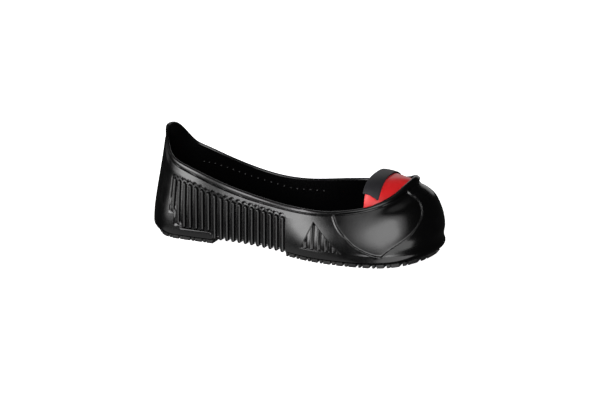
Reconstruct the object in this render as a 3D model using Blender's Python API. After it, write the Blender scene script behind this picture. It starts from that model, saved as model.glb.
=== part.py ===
"""Rubber overshoe with a hard toe cap, the right one of a pair, for Blender 4.5.

The shoe lies along X with its toe towards +X, its outer side towards -Y and
the ground at Z = 0. The origin is on the ground under the middle of its box.
"""
import math
from collections import namedtuple

import bmesh
import bpy
import numpy
from mathutils import Vector

# Overall sizes, in metres
LENGTH = 0.300
WIDTH = 0.116
TAB_HEIGHT = 0.1088

# Rubber moulding
WALL = 0.0025
FLOOR = 0.0055
LUG_HEIGHT = 0.0035
LUG_DRAFT = 0.0010
LUG_PITCH_HEEL = 0.0090
LUG_PITCH_FORE = 0.0135
ARCH_HEIGHT = 0.0055
TOE_SPRING = 0.0045
HEEL_STEP = 0.0010
FOOT_LINE = 0.0112
EDGE_TUCK = 0.0050
BEAD_WIDTH = 0.0030
BEAD_PROUD = 0.0008

# Side ribs and the ribbed triangle
RIB_PITCH = 0.00676
RIB_TOP_WIDTH = 0.0040
RIB_PROUD = 0.0009
RIB_GROOVE = 0.0012
RIB_END = 0.0025
RIBS_BELOW_RIM = 0.0115
FIRST_RIB_BELOW_RIM = 0.0190

# Toe cap and its edge strip
CLEARANCE = 0.0004
CAP_WALL = 0.0020
CAP_CROWN = 0.0040
STRIP_WIDTH = 0.0135
STRIP_WALL = 0.0012

# Places along the shoe, as shares of its length
RIBS_START = 0.103
RIBS_FULL = 0.143
RIBS_LEVEL = 0.180
RIBS_STOP = 0.531
HEEL_FRONT = 0.272
ARCH_STOP = 0.495
FORE_BACK = 0.535
TRIANGLE_START = 0.593
TRIANGLE_PEAK = 0.633
TRIANGLE_STOP = 0.730
SPRING_START = 0.830
TOE_START = 0.745
CAP_REAR = 0.783
CAP_SIDES = 0.818

# Heights as shares of the tab's height
TRIANGLE_TOP = 0.343
FIRST_RIB_FOOT = 0.320

# Shape of the sole's edge: share of its tuck and of its height at its bend
SIDE_TUCK = 0.25
SIDE_RISE = 0.35

# Shape of the cap: how square its shoulders are on the outer and inner side,
# how full its crown is, and where the strip ends, as shares of the rear edge
CAP_SHOULDERS = (3.2, 2.0)
CROWN_FULLNESS = 0.30
STRIP_ENDS = (0.13, 0.87)
LEAST_CROWN = 0.25
LEAST_LUG = 0.93
NEAR = 0.004

# How finely the surfaces are divided; heights are shares of the wall's curve
HEEL_STEPS = 8
TOE_STEPS = 12
WALL_HEIGHTS = (0.14, 0.29, 0.44, 0.60, 0.78)
RIB_HEIGHTS = (0.10, 0.55)
INSIDE_HEIGHTS = (0.86, 0.72, 0.56, 0.40, 0.24, 0.10)
CROSS = (0.0, 0.19, 0.5, 0.81, 1.0)
CROWN_STEPS = 3
STRIP_STEPS = 3
CAP_STEPS = 26
CAP_SHARES = [i / CAP_STEPS for i in range(CAP_STEPS + 1)]

# Sections round the shoe, from the middle of the heel to the tip of the toe.
# foot_x and rim_x are shares of the length; mid, foot_out, foot_in, rim_out
# and rim_in are shares of the half width, out on the outer side and in on the
# inner; rise_out and rise_in are rim heights as shares of the tab's height.
# climb, reach and drop are the handles of the wall's curve from foot to rim,
# and tuck is how far the tread's edge is drawn in, in shares of EDGE_TUCK.
Section = namedtuple("Section", "foot_x rim_x mid foot_out foot_in rim_out rim_in "
                                "rise_out rise_in climb reach drop tuck")
SECTIONS = (
    Section(0.000, 0.052, 0.00, 0.000, 0.000, 0.000, 0.000, 1.000, 1.000, 0.23, 0.48, 0.50, 1.0),
    Section(0.007, 0.056, 0.00, 0.203, 0.203, 0.140, 0.164, 0.985, 0.990, 0.23, 0.46, 0.50, 1.0),
    Section(0.030, 0.069, 0.00, 0.410, 0.410, 0.280, 0.330, 0.895, 0.930, 0.24, 0.38, 0.48, 1.1),
    Section(0.073, 0.098, 0.00, 0.579, 0.579, 0.440, 0.515, 0.777, 0.795, 0.25, 0.30, 0.45, 1.1),
    Section(0.127, 0.133, 0.00, 0.637, 0.637, 0.531, 0.589, 0.723, 0.738, 0.30, 0.30, 0.40, 0.9),
    Section(0.190, 0.190, 0.00, 0.657, 0.655, 0.603, 0.637, 0.674, 0.674, 0.35, 0.35, 0.35, 0.6),
    Section(0.300, 0.300, 0.00, 0.681, 0.668, 0.637, 0.637, 0.573, 0.581, 0.35, 0.35, 0.35, 0.5),
    Section(0.413, 0.413, 0.00, 0.722, 0.695, 0.700, 0.724, 0.503, 0.504, 0.35, 0.35, 0.35, 0.5),
    Section(0.523, 0.523, 0.00, 0.820, 0.760, 0.776, 0.797, 0.460, 0.492, 0.35, 0.40, 0.35, 0.5),
    Section(0.600, 0.600, 0.00, 0.940, 0.870, 0.814, 0.821, 0.445, 0.514, 0.35, 0.45, 0.35, 0.5),
    Section(0.687, 0.677, 0.00, 1.000, 0.960, 0.827, 0.827, 0.448, 0.536, 0.38, 0.50, 0.32, 0.5),
    Section(0.760, 0.740, 0.00, 0.990, 1.000, 0.794, 0.782, 0.472, 0.556, 0.42, 0.52, 0.31, 0.6),
    Section(0.827, 0.793, 0.00, 0.935, 0.970, 0.720, 0.705, 0.502, 0.577, 0.48, 0.55, 0.30, 0.8),
    Section(0.890, 0.833, 0.01, 0.835, 0.865, 0.621, 0.599, 0.542, 0.605, 0.53, 0.58, 0.28, 1.0),
    Section(0.943, 0.865, 0.02, 0.662, 0.680, 0.457, 0.444, 0.587, 0.632, 0.58, 0.62, 0.27, 1.2),
    Section(0.982, 0.888, 0.03, 0.400, 0.405, 0.250, 0.241, 0.645, 0.665, 0.62, 0.66, 0.28, 1.4),
    Section(1.000, 0.901, 0.04, 0.000, 0.000, 0.000, 0.000, 0.687, 0.687, 0.63, 0.67, 0.28, 1.4),
)
HALF = WIDTH / 2

Station = namedtuple("Station", "outer inner x wave inside ribs")


def ramp(value, start, stop):
    """Share of the way from start to stop, from 0 to 1."""
    return min(1.0, max(0.0, (value - start) / (stop - start)))


def mix(a, b, share):
    return a + (b - a) * share


class ClosedSpline:
    """Smooth closed cubic curve through rows of values, one row per knot."""

    def __init__(self, knots, rows):
        self.knots = numpy.array(knots)
        self.rows = numpy.array(rows)
        count = len(rows)
        steps = numpy.diff(self.knots)
        matrix = numpy.zeros((count, count))
        sides = numpy.zeros_like(self.rows)
        for i in range(count):
            before, after = steps[i - 1], steps[i]
            matrix[i, i - 1] += before
            matrix[i, i] += 2 * (before + after)
            matrix[i, (i + 1) % count] += after
            rise = (self.rows[(i + 1) % count] - self.rows[i]) / after
            sides[i] = 6 * (rise - (self.rows[i] - self.rows[i - 1]) / before)
        self.bends = numpy.linalg.solve(matrix, sides)
        self.steps = steps

    def at(self, place):
        place = place % self.knots[-1]
        i = min(int(numpy.searchsorted(self.knots, place, side="right")) - 1, len(self.steps) - 1)
        j = (i + 1) % len(self.rows)
        step = self.steps[i]
        b = (place - self.knots[i]) / step
        a = 1 - b
        bend = (a ** 3 - a) * self.bends[i] + (b ** 3 - b) * self.bends[j]
        return a * self.rows[i] + b * self.rows[j] + bend * step * step / 6


def spring(x):
    """How far the toe of the sole lifts off the ground."""
    lift = ramp(x, SPRING_START * LENGTH, LENGTH)
    return TOE_SPRING * lift * lift


def tread_base(x):
    """Height of the sole's underside between the lugs."""
    if x <= HEEL_FRONT * LENGTH:
        return LUG_HEIGHT
    return mix(ARCH_HEIGHT, LUG_HEIGHT, ramp(x, ARCH_STOP * LENGTH, FORE_BACK * LENGTH)) + spring(x)


def floor_height(x):
    """Height of the floor that the shoe stands on inside."""
    arch = ramp(x, HEEL_FRONT * LENGTH, ARCH_STOP * LENGTH)
    lift = (ARCH_HEIGHT - LUG_HEIGHT) * math.sin(math.pi * arch)
    return LUG_HEIGHT + FLOOR + lift + spring(x)


def section_rows():
    """Knots round the whole shoe: outer side from heel to toe, then inner side back."""
    rows = []
    for section in SECTIONS:
        rows.append(side_row(section, -1, section.foot_out, section.rim_out, section.rise_out))
    for section in reversed(SECTIONS[1:-1]):
        rows.append(side_row(section, 1, section.foot_in, section.rim_in, section.rise_in))
    return rows


def side_row(section, side, foot, rim, rise):
    return [section.foot_x * LENGTH, (section.mid + side * foot) * HALF,
            section.rim_x * LENGTH, (section.mid + side * rim) * HALF, rise * TAB_HEIGHT,
            section.climb, section.reach, section.drop, section.tuck]


class Upper:
    """Outer surface of the wall: place runs round the shoe, height from foot to rim."""

    def __init__(self):
        rows = section_rows()
        knots = [0.0]
        for a, b in zip(rows, rows[1:] + rows[:1]):
            foot = math.hypot(a[0] - b[0], a[1] - b[1])
            rim = math.dist(a[2:5], b[2:5])
            knots.append(knots[-1] + (foot + rim) / 2)
        self.spline = ClosedSpline(knots, rows)
        self.round = knots[-1]
        self.toe = knots[len(SECTIONS) - 1]

    def point(self, place, height):
        foot_x, foot_y, rim_x, rim_y, rim_z, climb, reach, drop, _ = self.spline.at(place)
        foot = Vector((foot_x, foot_y, FOOT_LINE + spring(foot_x)))
        rim = Vector((rim_x, rim_y, rim_z))
        lean = rim - foot
        lower = foot + Vector((0, 0, climb * lean.z))
        upper = rim - Vector((reach * lean.x, reach * lean.y, drop * lean.z))
        a, b = 1 - height, height
        return a ** 3 * foot + 3 * a * a * b * lower + 3 * a * b * b * upper + b ** 3 * rim

    def normal(self, place, height):
        step = NEAR * self.toe
        up = min(height + NEAR, 1.0)
        along = self.point(place + step, height) - self.point(place - step, height)
        climb = self.point(place, up) - self.point(place, up - 2 * NEAR)
        return along.cross(climb).normalized()

    def offset(self, place, height, out):
        return self.point(place, height) + self.normal(place, height) * out

    def tuck(self, place):
        return EDGE_TUCK * self.spline.at(place)[-1]

    def place_at(self, x, side):
        """Place where the foot line passes x, on the outer (-1) or inner (1) side."""
        low, high = (0.0, self.toe) if side < 0 else (self.round, self.toe)
        for _ in range(40):
            middle = (low + high) / 2
            if self.point(middle, 0).x < x:
                low = middle
            else:
                high = middle
        return (low + high) / 2

    def height_at(self, place, z):
        """Share of the wall's curve at which it reaches the height z."""
        low, high = 0.0, 1.0
        for _ in range(30):
            middle = (low + high) / 2
            if self.point(place, middle).z < z:
                low = middle
            else:
                high = middle
        return (low + high) / 2

    def below_rim(self, place, distance):
        """Share of the wall's curve at a distance below the rim."""
        last = (self.point(place, 1.0) - self.point(place, 1 - NEAR)).length / NEAR
        return 1 - distance / last


UPPER = Upper()
CAP_ENDS = [UPPER.place_at(CAP_SIDES * LENGTH, side) for side in (-1, 1)]


def rib_stations(start, stop, kind):
    """Stations over one field of ribs: two on each rib and one in each groove."""
    count = max(2, round((stop - start) / RIB_PITCH))
    pitch = (stop - start) / count
    top = pitch * RIB_TOP_WIDTH / RIB_PITCH
    found = [(start, 0, True, kind)]
    for i in range(count):
        centre = start + (i + 0.5) * pitch
        found.append((centre - top / 2, 1, False, kind))
        found.append((centre + top / 2, 1, False, kind))
        found.append((centre + pitch / 2, -1 if i < count - 1 else 0, True, kind))
    return found


def stations():
    """All stations from the middle of the heel to the tip of the toe."""
    side_ribs = rib_stations(RIBS_START * LENGTH, RIBS_STOP * LENGTH, "side")
    for x in (HEEL_FRONT * LENGTH - HEEL_STEP / 2, HEEL_FRONT * LENGTH + HEEL_STEP / 2):
        side_ribs.append((x, 1, False, "side"))
    triangle = rib_stations(TRIANGLE_START * LENGTH, TRIANGLE_STOP * LENGTH, "triangle")
    between = [(FORE_BACK * LENGTH, 0, True, ""),
               ((FORE_BACK + TRIANGLE_START) / 2 * LENGTH, 0, True, "")]
    along = sorted(side_ribs + between + triangle)
    found = []
    heel = [UPPER.place_at(along[0][0], side) for side in (-1, 1)]
    for i in range(HEEL_STEPS):
        share = i / HEEL_STEPS
        found.append(plain_station(heel[0] * share, mix(UPPER.round, heel[1], share)))
    for x, wave, inside, kind in along:
        found.append(Station(UPPER.place_at(x, -1), UPPER.place_at(x, 1), x, wave, inside, kind))
    toe = [UPPER.place_at(TOE_START * LENGTH, side) for side in (-1, 1)]
    for i in range(TOE_STEPS + 1):
        share = i / TOE_STEPS
        found.append(plain_station(mix(toe[0], UPPER.toe, share), mix(toe[1], UPPER.toe, share)))
    return found


def plain_station(outer, inner):
    return Station(outer, inner, UPPER.point(outer, 0).x, 0, True, "")


def rib_span(station, place):
    """Foot, shoulder and top of a station's ribs, as shares of the wall's curve."""
    lowest = FOOT_LINE + RIB_END / 4
    if station.ribs == "side":
        level = ramp(station.x, RIBS_START * LENGTH, RIBS_LEVEL * LENGTH)
        top = UPPER.point(place, 1.0).z - mix(FIRST_RIB_BELOW_RIM, RIBS_BELOW_RIM, level)
        full = ramp(station.x, RIBS_START * LENGTH, RIBS_FULL * LENGTH)
        foot = mix(FIRST_RIB_FOOT * TAB_HEIGHT, lowest, full)
    else:
        up = ramp(station.x, TRIANGLE_START * LENGTH, TRIANGLE_PEAK * LENGTH)
        down = ramp(station.x, TRIANGLE_STOP * LENGTH, TRIANGLE_PEAK * LENGTH)
        foot = lowest
        top = mix(foot + 2 * RIB_END, TRIANGLE_TOP * TAB_HEIGHT, min(up, down))
    return [UPPER.height_at(place, z) for z in (foot, top - RIB_END, top)]


def rib_wave(station):
    """How far the wall stands out on a rib or back in a groove."""
    return {1: RIB_PROUD, -1: -RIB_GROOVE, 0: 0.0}[station.wave]


def arch_wave(station):
    """The same under the arch, where the ribs run on across the sole."""
    under_arch = HEEL_FRONT * LENGTH < station.x < RIBS_STOP * LENGTH
    return rib_wave(station) if under_arch else 0.0


def wall_column(station, place):
    """Points of one station up the outside, from the tread's edge to the rim's inner edge."""
    wave = rib_wave(station)
    low_wave = arch_wave(station)
    foot_wave = wave if station.ribs == "triangle" else low_wave
    foot = UPPER.point(place, 0)
    flat = UPPER.normal(place, 0)
    flat.z = 0
    flat.normalize()
    tuck = UPPER.tuck(place)
    edge = foot - flat * (tuck - low_wave)
    edge.z = tread_base(foot.x) - low_wave
    side = foot - flat * (tuck * SIDE_TUCK - low_wave)
    side.z = mix(edge.z, foot.z, SIDE_RISE)
    points = [edge, side, foot + flat * foot_wave]
    if station.ribs:
        low, high, top = rib_span(station, place)
        heights = [(low, foot_wave)]
        heights += [(mix(low, high, share), wave) for share in RIB_HEIGHTS]
        heights += [(high, wave), (top, 0.0)]
    else:
        heights = [(height, 0.0) for height in WALL_HEIGHTS]
    groove = UPPER.below_rim(place, BEAD_WIDTH + BEAD_PROUD)
    bead = UPPER.below_rim(place, BEAD_WIDTH)
    heights += [(groove, 0.0), (bead, BEAD_PROUD), (1.0, BEAD_PROUD / 2), (1.0, -WALL)]
    points += [UPPER.offset(place, height, out) for height, out in heights]
    return points


def inside_column(station, place):
    """Points of one station down the inside, from under the rim to the floor."""
    points = [UPPER.offset(place, height, -WALL) for height in INSIDE_HEIGHTS]
    corner = UPPER.offset(place, 0.0, -WALL)
    corner.z = floor_height(station.x)
    return points + [corner]


def ring_of(column, found):
    """Loops of points round the shoe, one for each height of the columns."""
    places = [(s, s.outer) for s in found] + [(s, s.inner) for s in reversed(found[1:-1])]
    return [list(loop) for loop in zip(*[column(station, place) for station, place in places])]


def stitch(bm, lower, upper):
    """Faces between two closed loops of as many vertices."""
    count = len(lower)
    for i in range(count):
        j = (i + 1) % count
        bm.faces.new((lower[i], lower[j], upper[j], upper[i]))


def cross_strip(bm, ring, heights):
    """Faces that fill a ring from its outer to its inner side, row by row."""
    count = len(ring) // 2
    rows = []
    for i in range(1, count):
        outer, inner = ring[i], ring[-i]
        row = [outer]
        for share in CROSS[1:-1]:
            point = outer.co.lerp(inner.co, share)
            row.append(bm.verts.new((point.x, point.y, heights[i])))
        rows.append(row + [inner])
    for pole, row in ((ring[0], rows[0]), (ring[count], rows[-1])):
        for a, b in zip(row, row[1:]):
            bm.faces.new((pole, a, b))
    cells = []
    for row, after in zip(rows, rows[1:]):
        cells.append([bm.faces.new((row[k], row[k + 1], after[k + 1], after[k]))
                      for k in range(len(row) - 1)])
    return cells


def lug_runs(found, start, stop, pitch):
    """Runs of cells between stations, each about one pitch long."""
    inside = [i for i, s in enumerate(found[1:-1]) if start <= s.x <= stop]
    places = [s.x for s in found[1:-1]]
    runs, first = [], inside[0]
    for i in inside[1:]:
        if places[i] - places[first] >= pitch * LEAST_LUG:
            runs.append((first, i))
            first = i
    if first != inside[-1]:
        short = places[inside[-1]] - places[first] < pitch / 2
        begin = runs.pop()[0] if short else first
        runs.append((begin, inside[-1]))
    return runs


def add_lugs(bm, cells, found):
    """Tread lugs: groups of the underside's faces, drawn in and pushed down."""
    fields = ((0.0, HEEL_FRONT * LENGTH, LUG_PITCH_HEEL), (FORE_BACK * LENGTH, LENGTH, LUG_PITCH_FORE))
    last = len(CROSS) - 2
    for start, stop, pitch in fields:
        runs = lug_runs(found, start, stop, pitch)
        pairs = [(a[0], b[1]) for a, b in zip(runs[::2], runs[1::2])]
        lanes = [(lane, run) for lane in (0, last) for run in runs]
        lanes += [(lane, pair) for lane in range(1, last) for pair in pairs]
        for lane, (first, stop_at) in lanes:
            faces = [cells[i][lane] for i in range(first, stop_at)]
            bmesh.ops.inset_region(bm, faces=faces, thickness=LUG_DRAFT, use_even_offset=True)
            for vert in {v for face in faces for v in face.verts}:
                vert.co.z = spring(vert.co.x)


def build_body(parent):
    """Wall, rim, lining, floor and tread of the one rubber moulding."""
    found = stations()
    bm = bmesh.new()
    outside = [[bm.verts.new(point) for point in loop] for loop in ring_of(wall_column, found)]
    for lower, upper in zip(outside, outside[1:]):
        stitch(bm, lower, upper)

    total = len(outside[0])
    keep = [i for i, s in enumerate(found) if s.inside]
    keep += [total - i for i in reversed(keep[1:-1])]
    lining = [[bm.verts.new(loop[i]) for i in keep] for loop in ring_of(inside_column, found)]
    for lower, upper in zip(lining, lining[1:]):
        stitch(bm, lower, upper)
    rim = outside[-1]
    for k, (a, b) in enumerate(zip(keep, keep[1:] + [total])):
        along = [rim[i % total] for i in range(a, b + 1)]
        bm.faces.new(along + [lining[0][(k + 1) % len(keep)], lining[0][k]])

    cross_strip(bm, lining[-1], [floor_height(s.x) for s in found if s.inside])
    cells = cross_strip(bm, outside[0], [tread_base(s.x) - arch_wave(s) for s in found])
    add_lugs(bm, cells, found)
    bmesh.ops.recalc_face_normals(bm, faces=bm.faces)
    rubber = material("black_rubber", (0.010, 0.010, 0.011), 0.28)
    return add_object("overshoe_body", bm, rubber, parent)


def cap_place(share):
    """Place round the toe for a share of the way along the cap."""
    if share < 0.5:
        return mix(CAP_ENDS[0], UPPER.toe, share * 2)
    return mix(CAP_ENDS[1], UPPER.toe, 2 - share * 2)


def cap_rim(share):
    """Point of the cap's outside level with the throat's rim."""
    return UPPER.offset(cap_place(share), 1.0, -WALL - CLEARANCE)


def cap_arch(share):
    """Point of the cap's rear edge, which arches over the foot."""
    angle = math.pi * share
    across, up = math.cos(angle), math.sin(angle)
    power = 2 / mix(*CAP_SHOULDERS, share)
    first, last = cap_rim(0.0), cap_rim(1.0)
    foot = first.lerp(last, 0.5 - math.copysign(abs(across) ** power, across) / 2)
    top = cap_rim(0.5).z + CAP_CROWN
    z = foot.z + (top - foot.z) * max(0.0, up) ** power
    return Vector((CAP_REAR * LENGTH, foot.y, z))


def crown_point(share, along):
    """Point of the cap between the throat's rim and the cap's rear edge."""
    place = cap_place(share)
    start, stop = cap_rim(share), cap_arch(share)
    heading = (UPPER.point(place, 1.0) - UPPER.point(place, 1 - NEAR)).normalized()
    across = stop - start
    reach = across.length * CROWN_FULLNESS
    a, b = 1 - along, along
    first = start + (heading + 2 * across.normalized()).normalized() * reach
    second = stop + Vector((reach, 0, 0))
    return a ** 3 * start + 3 * a * a * b * first + 3 * a * b * b * second + b ** 3 * stop


def crown_normal(share, along):
    low = min(along, 1 - NEAR)
    before, after = max(0.0, share - NEAR), min(1.0, share + NEAR)
    aside = crown_point(after, along) - crown_point(before, along)
    climb = crown_point(share, low + NEAR) - crown_point(share, low)
    return aside.cross(climb).normalized()


def crown_rows(share):
    """Shares of the crown's curve at its rows: those ahead of the strip and those under it."""
    width = (cap_arch(share) - cap_rim(share)).length
    front = max(LEAST_CROWN, 1 - STRIP_WIDTH / width)
    ahead = [front * k / CROWN_STEPS for k in range(CROWN_STEPS)]
    return ahead, [mix(front, 1.0, k / STRIP_STEPS) for k in range(STRIP_STEPS + 1)]


def cap_column(share, depth):
    """Points up the cap at a depth under its outside, from the floor to the rear edge."""
    place = cap_place(share)
    under = -WALL - CLEARANCE - depth
    points = [UPPER.offset(place, height, under) for height in (0.0, *reversed(INSIDE_HEIGHTS))]
    points[0].z = floor_height(UPPER.point(place, 0).x) + CLEARANCE
    ahead, covered = crown_rows(share)
    for along in ahead + covered:
        points.append(crown_point(share, along) - crown_normal(share, along) * depth)
    return points


def build_cap(parent):
    """Domed shell in the toe, open at the back and below."""
    bm = bmesh.new()
    sheets = []
    for depth in (0.0, CAP_WALL):
        columns = [cap_column(share, depth) for share in CAP_SHARES]
        sheets.append([[bm.verts.new(point) for point in column] for column in columns])
    for sheet in sheets:
        for column, after in zip(sheet, sheet[1:]):
            for k in range(len(column) - 1):
                bm.faces.new((column[k], after[k], after[k + 1], column[k + 1]))
    outer, inner = [edge_loop(sheet) for sheet in sheets]
    stitch(bm, outer, inner)
    bmesh.ops.recalc_face_normals(bm, faces=bm.faces)
    red = material("red_plastic", (0.55, 0.03, 0.03), 0.35)
    return add_object("toe_cap", bm, red, parent)


def edge_loop(sheet):
    """Vertices round the edge of a sheet of columns."""
    across = [column[-1] for column in sheet[1:-1]]
    back = [column[0] for column in reversed(sheet[1:-1])]
    return sheet[0] + across + list(reversed(sheet[-1])) + back


def strip_section(share):
    """Outline of the strip: a channel pushed over the cap's rear edge from behind."""
    line = [(crown_point(share, along), crown_normal(share, along)) for along in crown_rows(share)[1]]
    lip, lip_out = line[-2]
    rear, rear_out = line[-1]
    back = Vector((-1, 0, 0))
    top = [point + normal * (CLEARANCE + STRIP_WALL) for point, normal in line]
    seat = [point + normal * CLEARANCE for point, normal in reversed(line)]
    under = CAP_WALL + CLEARANCE
    rim = CLEARANCE + STRIP_WALL
    turn = [top[-1] + back * rim,
            rear - rear_out * (under + STRIP_WALL) + back * rim,
            lip - lip_out * (under + STRIP_WALL),
            lip - lip_out * under,
            rear - rear_out * under + back * CLEARANCE,
            seat[0] + back * CLEARANCE]
    return top + turn + seat


def build_strip(parent):
    bm = bmesh.new()
    shares = [share for share in CAP_SHARES if STRIP_ENDS[0] <= share <= STRIP_ENDS[1]]
    loops = [[bm.verts.new(point) for point in strip_section(share)] for share in shares]
    for loop, after in zip(loops, loops[1:]):
        stitch(bm, loop, after)
    bm.faces.new(loops[0])
    bm.faces.new(loops[-1])
    bmesh.ops.recalc_face_normals(bm, faces=bm.faces)
    grey = material("dark_grey_plastic", (0.028, 0.028, 0.032), 0.55)
    return add_object("cap_edge_strip", bm, grey, parent)


def material(name, colour, roughness):
    made = bpy.data.materials.new(name)
    made.use_nodes = True
    shader = made.node_tree.nodes["Principled BSDF"]
    shader.inputs["Base Color"].default_value = (*colour, 1.0)
    shader.inputs["Roughness"].default_value = roughness
    made.diffuse_color = (*colour, 1.0)
    return made


def add_object(name, bm, surface, parent):
    mesh = bpy.data.meshes.new(name)
    bm.to_mesh(mesh)
    bm.free()
    mesh.shade_smooth()
    mesh.set_sharp_from_angle(angle=math.radians(35))
    mesh.materials.append(surface)
    made = bpy.data.objects.new(name, mesh)
    bpy.context.scene.collection.objects.link(made)
    made.parent = parent
    return made


def main():
    for old in list(bpy.data.objects):
        bpy.data.objects.remove(old, do_unlink=True)
    origin = bpy.data.objects.new("overshoe", None)
    bpy.context.scene.collection.objects.link(origin)
    body = build_body(origin)
    sides = [vert.co.y for vert in body.data.vertices]
    origin.location = (-LENGTH / 2, -(min(sides) + max(sides)) / 2, 0)
    build_cap(origin)
    build_strip(origin)
    bpy.context.view_layer.update()


main()
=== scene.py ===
# %% [markdown]
# # A rubber overshoe with a toe cap
# The overshoe is one soft black moulding that is pulled over a working shoe. A hard red cap sits
# inside its toe, and a dark grey strip covers the cap's rear edge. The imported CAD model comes
# first, because every piece here has to lie exactly where its plain solid lies.

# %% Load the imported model
import math
from collections import Counter

import bpy
import numpy as np
from mathutils import Matrix, Vector


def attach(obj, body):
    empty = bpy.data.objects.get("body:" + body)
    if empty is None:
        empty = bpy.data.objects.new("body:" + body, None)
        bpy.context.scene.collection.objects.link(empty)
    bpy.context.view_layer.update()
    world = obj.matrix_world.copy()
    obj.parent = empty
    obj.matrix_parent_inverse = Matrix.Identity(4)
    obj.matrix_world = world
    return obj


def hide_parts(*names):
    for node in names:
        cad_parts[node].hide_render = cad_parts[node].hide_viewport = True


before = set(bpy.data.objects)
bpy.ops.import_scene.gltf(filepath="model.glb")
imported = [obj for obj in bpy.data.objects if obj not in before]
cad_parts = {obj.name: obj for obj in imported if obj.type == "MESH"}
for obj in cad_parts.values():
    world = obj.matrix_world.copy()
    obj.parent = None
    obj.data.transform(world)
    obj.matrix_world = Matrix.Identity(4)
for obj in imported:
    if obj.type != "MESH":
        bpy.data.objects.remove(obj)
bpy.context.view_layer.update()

print("nodes:", sorted(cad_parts))

# %% [markdown]
# ## Sizes
# All shapes are worked out from these few sizes, in metres. The shoe is modelled from the middle
# of its heel, with the toe towards +X and the outer side towards -Y, and is moved to the middle of
# the frame when a piece is done. Places along the shoe are shares of its length.

# %% Overall sizes and places along the shoe
LENGTH = 0.300
WIDTH = 0.116
TAB_HEIGHT = 0.1088
HALF = WIDTH / 2
WALL = 0.0025
FLOOR = 0.0055
LUG_HEIGHT = 0.0035
ARCH_HEIGHT = 0.0053
TOE_SPRING = 0.0045
FOOT_LINE = 0.0112
EDGE_TUCK = 0.0050
SIDE_TUCK = 0.0012
CLEARANCE = 0.0004
MIDDLE = (-LENGTH / 2, 0.0004, 0.0)


def lengthwise(*shares):
    """Places along the shoe, given as shares of its length."""
    return [share * LENGTH for share in shares]


RIBS_START, RIBS_FULL, RIBS_LEVEL, RIBS_STOP = lengthwise(0.103, 0.143, 0.440, 0.531)
HEEL_FRONT, ARCH_MIDDLE, ARCH_STOP, FORE_BACK = lengthwise(0.266, 0.370, 0.495, 0.535)
TRIANGLE_START, TRIANGLE_PEAK, TRIANGLE_STOP = lengthwise(0.590, 0.6345, 0.738)
SPRING_START = 0.830 * LENGTH


def ramp(value, start, stop):
    """Share of the way from start to stop, from 0 to 1, for numbers and arrays."""
    return np.clip((value - start) / (stop - start), 0.0, 1.0)


def ease(value, start, stop):
    """The same with a soft start and stop."""
    share = ramp(value, start, stop)
    return share * share * (3 - 2 * share)


def mix(a, b, share):
    return a + (b - a) * share


def swell(value, height, middle, reach):
    """A soft hill with a height at its middle, gone about two reaches away."""
    return height * np.exp(-((value - middle) / reach) ** 2)


def stretch(value, start, full, fading, gone):
    """1 from full to fading, with soft ends outside them."""
    return ease(value, start, full) * (1 - ease(value, fading, gone))


# %% [markdown]
# ## The wall's curve
# A last maker describes a shoe by sections. Each row below is one section: where the wall leaves
# the sole, where its rim is, and how its side bulges in between. A smooth closed curve runs through
# the rows, down the outer side and back along the inner one, so any point of the wall can be asked
# for. The same table drives the plain solids, which keeps the fine wall on top of them.

# %% Table of sections
SECTION_COLUMNS = ("foot_x", "rim_x", "mid", "foot_out", "foot_in", "rim_out", "rim_in",
                   "rise_out", "rise_in", "climb", "reach", "drop", "tuck")
SECTIONS = (
    (0.000, 0.052, 0.00, 0.000, 0.000, 0.000, 0.000, 1.000, 1.000, 0.23, 0.48, 0.50, 1.0),
    (0.007, 0.056, 0.00, 0.203, 0.203, 0.140, 0.164, 0.985, 0.990, 0.23, 0.46, 0.50, 1.0),
    (0.030, 0.069, 0.00, 0.410, 0.410, 0.280, 0.330, 0.895, 0.930, 0.24, 0.38, 0.48, 1.1),
    (0.073, 0.098, 0.00, 0.579, 0.579, 0.440, 0.515, 0.777, 0.795, 0.25, 0.30, 0.45, 1.1),
    (0.127, 0.133, 0.00, 0.637, 0.637, 0.531, 0.589, 0.723, 0.738, 0.30, 0.30, 0.40, 0.9),
    (0.190, 0.190, 0.00, 0.657, 0.655, 0.603, 0.637, 0.674, 0.674, 0.35, 0.35, 0.35, 0.6),
    (0.300, 0.300, 0.00, 0.681, 0.668, 0.637, 0.637, 0.573, 0.581, 0.35, 0.35, 0.35, 0.5),
    (0.413, 0.413, 0.00, 0.722, 0.695, 0.700, 0.724, 0.503, 0.504, 0.35, 0.35, 0.35, 0.5),
    (0.523, 0.523, 0.00, 0.820, 0.760, 0.776, 0.797, 0.460, 0.492, 0.35, 0.40, 0.35, 0.5),
    (0.600, 0.600, 0.00, 0.940, 0.870, 0.814, 0.821, 0.445, 0.514, 0.35, 0.45, 0.35, 0.5),
    (0.687, 0.677, 0.00, 1.000, 0.960, 0.827, 0.827, 0.448, 0.536, 0.38, 0.50, 0.32, 0.5),
    (0.760, 0.740, 0.00, 0.990, 1.000, 0.794, 0.782, 0.472, 0.556, 0.42, 0.52, 0.31, 0.6),
    (0.827, 0.793, 0.00, 0.935, 0.970, 0.720, 0.705, 0.502, 0.577, 0.48, 0.55, 0.30, 0.8),
    (0.890, 0.833, 0.01, 0.835, 0.865, 0.621, 0.599, 0.542, 0.605, 0.53, 0.58, 0.28, 1.0),
    (0.943, 0.865, 0.02, 0.662, 0.680, 0.457, 0.444, 0.587, 0.632, 0.58, 0.62, 0.27, 1.2),
    (0.982, 0.888, 0.03, 0.400, 0.405, 0.250, 0.241, 0.645, 0.665, 0.62, 0.66, 0.28, 1.4),
    (1.000, 0.901, 0.04, 0.000, 0.000, 0.000, 0.000, 0.687, 0.687, 0.63, 0.67, 0.28, 1.4),
)


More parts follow.
